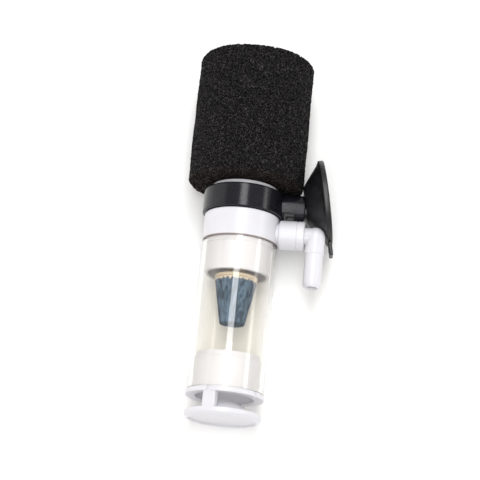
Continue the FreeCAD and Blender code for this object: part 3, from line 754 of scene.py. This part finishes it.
# ---------------------------------------------------------------- clear tube
class SPONGEFILTER_OT_tube(Operator):
    """Build the clear riser tube"""

    bl_idname = "sponge_filter.tube"
    bl_label = "Riser tube"

    def execute(self, context):
        s = context.scene.sponge_filter.tube
        outer, inner, start, end = (v / MM for v in (s.outer, s.inner, s.start, s.end))
        wall = outline([
            (inner, start, 0.15),
            (outer, start, 0.2),
            (outer, end, 0.2),
            (inner, end, 0.15),
        ])
        mesh = turned(wall, 160)
        finish = finish_of(context, "acrylic_finish")
        settle("riser_tube", mesh, TUBE_FRAME, "tube", finish, ["clear_tube"])
        return {"FINISHED"}


# -------------------------------------------------------------------- outlet
class SPONGEFILTER_OT_outlet(Operator):
    """Build the outlet: disc, deflector dome, pillars, flange and insert"""

    bl_idname = "sponge_filter.outlet"
    bl_label = "Outlet"

    def execute(self, context):
        s = context.scene.sponge_filter.white
        disc, dome, way, pillar = (v / MM for v in (s.disc, s.dome, s.water_way, s.pillar))
        base = outline([
            (0.0, 0.5),
            (8.7, 0.5, 0.1),
            (8.7, 0.0, 0.15),
            (disc - 0.8, 0.0, 0.9),
            (disc, 0.9, 0.7),
            (disc, 2.1, 0.25),
            (dome, 2.1),
        ], closed=False)
        base += [Vector(p) for p in bulged((dome, 2.1), (1.2, 5.4), 7.5, 14)]
        base += [Vector((1.2, 5.4)), Vector((0.0, 5.4))]
        insert = outline([
            (way, 6.0, 0.2),
            (10.25, 6.0, 0.25),
            (10.25, 7.35, 0.2),
            (8.75, 7.35),
            (8.75, 15.5, 0.15),
            (8.3, 15.5),
            (8.3, 17.0, 0.2),
            (way, 17.0, 0.2),
        ])
        upper = turned(insert, 128)
        for turn in (s.pillar_turn, s.notch_turn):
            notch = block((9.75, 5.0, -0.6), (11.5, 8.5, 0.6), about_along(turn))
            upper = cut(upper, notch)
        mesh = united(turned(base, 128, closed=False), upper)
        for turn in (s.pillar_turn, s.pillar_turn + math.pi):
            post = block((7.7, 1.6, -pillar / 2), (9.9, 6.5, pillar / 2), about_along(turn), 0.3)
            mesh = united(mesh, post)
        finish = finish_of(context, "white_finish")
        settle("outlet_white", mesh, TUBE_FRAME, "outlet", finish, ["outlet_cap"])
        return {"FINISHED"}


# ------------------------------------------------------------------- housing
class SPONGEFILTER_OT_housing(Operator):
    """Build the housing with its port and glue line, and the strainer core in the sponge"""

    bl_idname = "sponge_filter.housing"
    bl_label = "Housing and strainer"

    def execute(self, context):
        s = context.scene.sponge_filter.white
        shell, neck, way = (v / MM for v in (s.shell, s.neck, s.water_way))
        finish = finish_of(context, "white_finish")
        wall = outline([
            (way, 38.5, 0.25),
            (8.6, 38.5, 0.35),
            (8.6, 46.2, 0.05),
            (8.75, 46.2, 0.05),
            (8.75, SHELL_START),
            (shell, SHELL_START, 0.12),
            (shell, 54.9, 0.35),
            (neck, 54.9),
            (neck, NECK_END, 0.2),
            (way, NECK_END, 0.2),
        ])
        mesh = turned(wall, 128)
        port = solid([
            (0.0, 7.9),
            (3.0, 7.9),
            (3.0, 13.0, 0.25),
            (1.3, 13.0, 0.15),
            (1.3, 8.4),
            (0.0, 8.4),
        ], 64, "X")
        duct = solid([(0.0, -8.2), (2.3, -8.2), (2.3, 8.2), (0.0, 8.2)], 48, "X")
        for part in (port, duct):
            shifted(part, y=PORT_HEIGHT).transform(TO_PORT)
        boss = solid([(0.0, 45.5), (2.6, 45.5, 0.3), (2.6, 53.2, 0.3), (0.0, 53.2)], 48)
        mesh = united(mesh, port, duct, boss)
        settle("housing_white", mesh, TUBE_FRAME, "housing", finish, ["housing"])
        glue = turned(outline([
            (8.7, GLUE_START),
            (shell, GLUE_START),
            (shell, SHELL_START),
            (8.7, SHELL_START),
        ]), 128)
        settle("glue_line", glue, TUBE_FRAME, "housing",
               finish_of(context, "glue_finish"))
        self.strainer(finish, neck, way)
        return {"FINISHED"}

    def strainer(self, finish, neck, way):
        core = turned(outline([
            (6.4, 58.0),
            (7.55, 58.0),
            (7.55, NECK_END),
            (neck, NECK_END, 0.15),
            (neck, 62.9, 0.3),
            (5.0, 62.9, 0.4),
            (5.0, 91.0, 0.6),
            (0.0, 91.0),
            (0.0, 89.8),
            (3.9, 89.8),
            (3.9, NECK_END),
            (6.4, 60.3),
        ]), 96)
        for start in (66.0, 77.5):
            for k in range(3):
                turn = about_along(math.radians(60 * k))
                gap = block((-6.5, start, -0.9), (6.5, start + 9.5, 0.9), turn)
                core = cut(core, gap)
        settle("strainer_core_white", core, TUBE_FRAME, "housing", finish,
               ["strainer_core"])


# ------------------------------------------------------------------- airline
class SPONGEFILTER_OT_airline(Operator):
    """Build the collar nut and the elbow with its airline nipple"""

    bl_idname = "sponge_filter.airline"
    bl_label = "Collar and elbow"

    def execute(self, context):
        s = context.scene.sponge_filter.airline
        finish = finish_of(context, "white_finish")
        self.collar(s.collar / MM, finish)
        self.elbow(*(v / MM for v in (s.pipe, s.body, s.bore, s.corner, s.nipple)), finish)
        return {"FINISHED"}

    def collar(self, outer, finish):
        nut = turned(outline([
            (3.02, 10.3, 0.15),
            (outer, 10.3, 0.45),
            (outer, 15.0),
            (outer - 0.15, 15.05),
            (outer - 0.15, 15.2),
            (outer, 15.25),
            (outer, 17.1, 0.45),
            (2.45, 17.1, 0.2),
            (2.45, 15.3),
            (3.02, 15.3),
        ]), 96, axis="X")
        shifted(nut, y=PORT_HEIGHT)
        settle("collar_nut", nut, PORT_FRAME, "housing", finish, ["port_collar"])

    def elbow(self, pipe, body, bore, corner, nipple, finish):
        stub = solid([
            (0.0, 14.2),
            (2.95, 14.2, 0.15),
            (2.95, 15.2, 0.15),
            (pipe, 15.2),
            (pipe, corner),
            (0.0, corner),
        ], 64, "X")
        drop = solid([
            (0.0, -nipple),
            (2.0, -nipple, 0.15),
            (pipe, -nipple + 0.9, 0.2),
            (pipe, -4.95, 0.1),
            (body, -4.8, 0.15),
            (body, 0.0),
            (0.0, 0.0),
        ], 64)
        mesh = united(stub, shifted(drop, x=corner), shifted(ball(body, 64), x=corner))
        along_bore = solid([(0, 13.5), (bore, 13.5), (bore, corner), (0, corner)], 48, "X")
        down_bore = solid([
            (0, -nipple - 1),
            (bore + 0.25, -nipple - 1),
            (bore + 0.25, -nipple),
            (bore, -nipple + 0.35),
            (bore, 0.6),
            (0, 0.6),
        ], 48)
        shifted(down_bore, x=corner)
        mesh = cut(mesh, along_bore, down_bore)
        shifted(mesh, y=PORT_HEIGHT)
        settle("elbow_nipple", mesh, PORT_FRAME, "elbow", finish, ["air_elbow"])


# ---------------------------------------------------------------------- ring
class SPONGEFILTER_OT_ring(Operator):
    """Build the black ring round the neck with its side arm"""

    bl_idname = "sponge_filter.ring"
    bl_label = "Suction ring"

    def execute(self, context):
        s = context.scene.sponge_filter.ring
        outer, inner, start, end, arm = (v / MM for v in (s.outer, s.inner, s.start, s.end, s.arm))
        band = turned(outline([
            (inner, start, 0.2),
            (outer, start, 0.35),
            (outer, end, 0.45),
            (inner, end, 0.2),
        ]), 128)
        rod = solid([(0.0, 9.8), (arm, 9.8), (arm, 16.2, 0.3), (0.0, 16.2)], 64, "X")
        seam_turn = Matrix.Rotation(math.radians(-21), 4, "X")
        seam = block((9.9, -0.1, 3.93), (16.05, 0.1, 4.12), seam_turn)
        socket = solid([
            (0.0, SOCKET_FLOOR),
            (2.55, SOCKET_FLOOR),
            (2.55, 17.0),
            (0.0, 17.0),
        ], 48, "X")
        for part in (rod, seam, socket):
            shifted(part, y=ARM_HEIGHT)
        notch = block((10.9, 53.0, -5.0), (13.7, 56.3, 5.0))
        mesh = united(band, rod, seam)
        mesh = cut(mesh, socket, notch)
        finish = finish_of(context, "black_finish")
        settle("ring_black", mesh, ARM_FRAME, "ring", finish, ["suction_ring"])
        return {"FINISHED"}


# ----------------------------------------------------------------------- cup
class SPONGEFILTER_OT_cup(Operator):
    """Build the rubber suction cup with its stem, lip and pull tab"""

    bl_idname = "sponge_filter.cup"
    bl_label = "Suction cup"

    def execute(self, context):
        s = context.scene.sponge_filter.cup
        outer, start, rise, tab, dent = (v / MM for v in (s.outer, s.start, s.rise, s.tab, s.dent))
        corners = [
            (0.0, 0.15),
            (4.9, 0.15, 0.6),
            (5.9, 0.85, 0.6),
            (10.2, 4.1, 0.8),
            (outer, 4.7, 0.25),
            (outer, 6.1, 0.35),
            (9.7, 6.1, 0.3),
            *bulged((9.7, 6.1), (1.5, 3.0), -14.0, 12),
            (1.5, 3.0),
            (0.0, 3.0),
        ]
        shell = solid(corners, 160, "X")
        pull = block((4.8, -outer - tab, -2.0), (5.8, -outer + 1.6, 2.0), None, 0.35)
        nub_turn = Matrix.Rotation(math.radians(-32), 4, "X")
        nub = block((5.0, -0.5, outer - 0.5), (6.0, 0.5, outer + 0.1), nub_turn, 0.15)
        mesh = united(shell, pull, nub)
        mesh.transform(
            Matrix.Translation((start, ARM_HEIGHT + rise, 0))
            @ Matrix.Rotation(-s.twist, 4, "Y")
            @ Matrix.Rotation(s.lean, 4, "Z")
        )
        seat = solid([
            (0.0, SOCKET_FLOOR),
            (4.4, SOCKET_FLOOR),
            (4.4, start),
            (0.0, start),
        ], 64, "X")
        mesh = cut(mesh, shifted(seat, y=ARM_HEIGHT), *self.dents(dent))
        stem = solid([
            (0.0, SOCKET_FLOOR + 0.2),
            (2.5, SOCKET_FLOOR + 0.2, 0.3),
            (2.5, start + 1.0),
            (0.0, start + 1.0),
        ], 48, "X")
        mesh = united(mesh, shifted(stem, y=ARM_HEIGHT))
        finish = finish_of(context, "rubber_finish")
        settle("suction_cup_rubber", mesh, ARM_FRAME, "cup", finish,
               ["suction_cup"])
        return {"FINISHED"}

    @staticmethod
    def dents(radius):
        """The room that the elbow takes in the rubber, and on the way out of it."""
        airline = bpy.context.scene.sponge_filter.airline
        corner, nipple = airline.corner / MM, airline.nipple / MM
        foot = -nipple - 1
        tools = []
        for copy in range(DENT_COPIES):
            stub = solid(
                [(0, DENT_START), (radius, DENT_START), (radius, corner), (0, corner)], 48, "X")
            drop = solid([(0, foot), (radius, foot), (radius, 0), (0, 0)], 48)
            tool = united(stub, shifted(ball(radius, 48), x=corner), shifted(drop, x=corner))
            shifted(tool, y=PORT_HEIGHT).transform(TO_ARM @ about_along(DENT_TURN * copy))
            tools.append(tool)
        return tools


# --------------------------------------------------------------------- stone
class SPONGEFILTER_OT_stone(Operator):
    """Build the air stone and its holder, and finish the port's seal ring"""

    bl_idname = "sponge_filter.stone"
    bl_label = "Air stone"

    def execute(self, context):
        all_settings = context.scene.sponge_filter
        s = all_settings.stone
        narrow, wide, start, end = (v / MM for v in (s.narrow, s.wide, s.start, s.end))
        steps = 40
        side = [
            Vector((narrow + (wide - narrow) * k / steps, start + (end - start) * k / steps))
            for k in range(1, steps)
        ]
        profile = outline([(0.0, start), (narrow, start, 0.5), tuple(side[0])], closed=False)[:-1]
        profile += side
        profile += outline([tuple(side[-1]), (wide, end, 0.2), (0.0, end)], closed=False)[1:]
        mesh = turned(profile, 128, closed=False)
        for v in mesh.vertices:
            out = Vector((v.co.x, 0.0, v.co.z))
            if out.length > 1.0:
                grain = noise.noise(Vector((v.co.x * 1.3, v.co.y * 0.25, v.co.z * 1.3)))
                pit = noise.noise(v.co * 2.6)
                v.co += out.normalized() * (0.07 * grain + 0.05 * pit - 0.06)
        cream = tuple(all_settings.white.cream)
        level = FOOT.y + (FOOT.z * ALONG.z / ALONG.y) + (end - 0.75) * MM / ALONG.y
        finish = stone_grain("stone_finish", s.dark, s.light, cream, level, level + 0.0004)
        piece = settle("air_stone_grain", mesh, TUBE_FRAME, "stone", finish,
                       ["air_stone"], crease=60.0)
        piece.modifiers.clear()
        holder = solid([
            (0.0, 31.7),
            (1.55, 31.7),
            (1.55, 37.5),
            (wide, 37.5, 0.15),
            (wide, 38.4, 0.3),
            (2.1, 38.9),
            (2.1, 45.4),
            (1.55, 45.4),
            (1.55, 48.7),
            (0.0, 48.7),
        ], 64)
        finish = finish_of(context, "cream_finish")
        settle("stone_holder_cream", holder, TUBE_FRAME, "housing", finish,
               ["stone_holder"])
        seal = frame["nodes"]["seal_ring"]
        seal.data.materials.clear()
        seal.data.materials.append(finish_of(context, "rubber_finish"))
        return {"FINISHED"}


# --------------------------------------------------------------------- stage
class SPONGEFILTER_OT_stage(Operator):
    """Build the pale floor, the soft lights and the camera"""

    bl_idname = "sponge_filter.stage"
    bl_label = "Stage"

    def execute(self, context):
        s = context.scene.sponge_filter.stage
        self.floor(context, s)
        aim = FOOT + Vector((AIM_ASIDE, s.aim, AIM_ABOVE))
        level = math.cos(s.elevation)
        away = Vector((
            level * math.sin(s.azimuth),
            -level * math.cos(s.azimuth),
            math.sin(s.elevation),
        ))
        data = bpy.data.cameras.new("camera")
        data.lens = s.focal
        data.sensor_width = 36.0
        data.clip_start = 0.01
        camera = bpy.data.objects.new("camera", data)
        camera.location = aim + away * s.distance
        camera.rotation_euler = (-away).to_track_quat("-Z", "Y").to_euler()
        context.scene.collection.objects.link(camera)
        context.scene.camera = camera
        for name, turn, distance, size, power, rgb in LIGHTS:
            self.light(context, name, aim, away, turn, distance, size, power, rgb)
        world = bpy.data.worlds.new("studio")
        world.use_nodes = True
        sky = world.node_tree.nodes["Background"]
        sky.inputs["Color"].default_value = SKY_COLOUR
        sky.inputs["Strength"].default_value = SKY_STRENGTH
        context.scene.world = world
        context.scene.view_settings.view_transform = "Standard"
        return {"FINISHED"}

    def floor(self, context, s):
        """A large round floor whose rings are closer near the filter."""
        bm = bmesh.new()
        rings = []
        for k in range(s.rings + 1):
            radius = FLOOR_RADIUS * (k / s.rings) ** 2
            turns = FLOOR_TURNS if k else 1
            ring = []
            for i in range(turns):
                a = 2 * math.pi * i / FLOOR_TURNS
                ring.append(bm.verts.new((radius * math.cos(a), radius * math.sin(a), 0.0)))
            rings.append(ring)
        for a, b in zip(rings, rings[1:]):
            for i in range(FLOOR_TURNS):
                n = (i + 1) % FLOOR_TURNS
                corners = [a[i % len(a)], b[i], b[n], a[n % len(a)]]
                bm.faces.new(list(dict.fromkeys(corners)))
        mesh = bpy.data.meshes.new("floor")
        bm.to_mesh(mesh)
        bm.free()
        r = Recipe("floor_paper")
        tone = r.grain(0.02, 2.0)
        r.set(Base_Color=r.ramp(tone, (0.3, tinted(s.floor, 0.995)), (0.7, tuple(s.floor))))
        r.set(Roughness=0.9, Normal=r.bump(r.grain(0.8), 0.05, 0.05))
        mesh.materials.append(r.material)
        floor = bpy.data.objects.new("floor", mesh)
        floor.location.z = CAD_BOX[0][2]
        context.scene.collection.objects.link(floor)

    def light(self, context, name, aim, away, turn, distance, size, power, rgb):
        """An area light turned about the tube's axis from the viewing side."""
        towards = Matrix.Rotation(math.radians(turn), 3, ALONG) @ (away + LIGHT_LEAN * ALONG)
        data = bpy.data.lights.new(name, "AREA")
        data.shape = "RECTANGLE"
        data.size, data.size_y = size
        data.energy = power
        data.color = rgb
        lamp = bpy.data.objects.new(name, data)
        lamp.location = aim + towards * distance
        back = towards.normalized()
        up = (ALONG - ALONG.dot(back) * back).normalized()
        side = up.cross(back)
        lamp.rotation_euler = Matrix((side, up, back)).transposed().to_euler()
        context.scene.collection.objects.link(lamp)


# --------------------------------------------------------------------- add-on
class FilterSettings(PropertyGroup):
    """All the sizes and colours of the sponge filter."""

    foam: PointerProperty(type=FoamSettings)
    tube: PointerProperty(type=TubeSettings)
    white: PointerProperty(type=WhiteSettings)
    airline: PointerProperty(type=AirlineSettings)
    ring: PointerProperty(type=RingSettings)
    cup: PointerProperty(type=CupSettings)
    stone: PointerProperty(type=StoneSettings)
    stage: PointerProperty(type=StageSettings)


BUILDERS = (
    SPONGEFILTER_OT_sponge,
    SPONGEFILTER_OT_tube,
    SPONGEFILTER_OT_outlet,
    SPONGEFILTER_OT_housing,
    SPONGEFILTER_OT_airline,
    SPONGEFILTER_OT_ring,
    SPONGEFILTER_OT_cup,
    SPONGEFILTER_OT_stone,
    SPONGEFILTER_OT_stage,
)


class SPONGEFILTER_PT_pieces(Panel):
    """Lists the pieces of the filter and the stage."""

    bl_label = "Sponge filter"
    bl_idname = "SPONGEFILTER_PT_pieces"
    bl_space_type = "VIEW_3D"
    bl_region_type = "UI"
    bl_category = "Sponge filter"

    def draw(self, context):
        for builder in BUILDERS:
            self.layout.operator(builder.bl_idname)


GROUPS = (
    FoamSettings,
    TubeSettings,
    WhiteSettings,
    AirlineSettings,
    RingSettings,
    CupSettings,
    StoneSettings,
    StageSettings,
    FilterSettings,
)


def register():
    for made in (*GROUPS, *BUILDERS, SPONGEFILTER_PT_pieces):
        bpy.utils.register_class(made)
    bpy.types.Scene.sponge_filter = PointerProperty(type=FilterSettings)


def unregister():
    del bpy.types.Scene.sponge_filter
    for made in reversed((*GROUPS, *BUILDERS, SPONGEFILTER_PT_pieces)):
        bpy.utils.unregister_class(made)


def main():
    register()
    for builder in BUILDERS:
        group, name = builder.bl_idname.split(".")
        getattr(getattr(bpy.ops, group), name)()


if __name__ == "__main__":
    main()
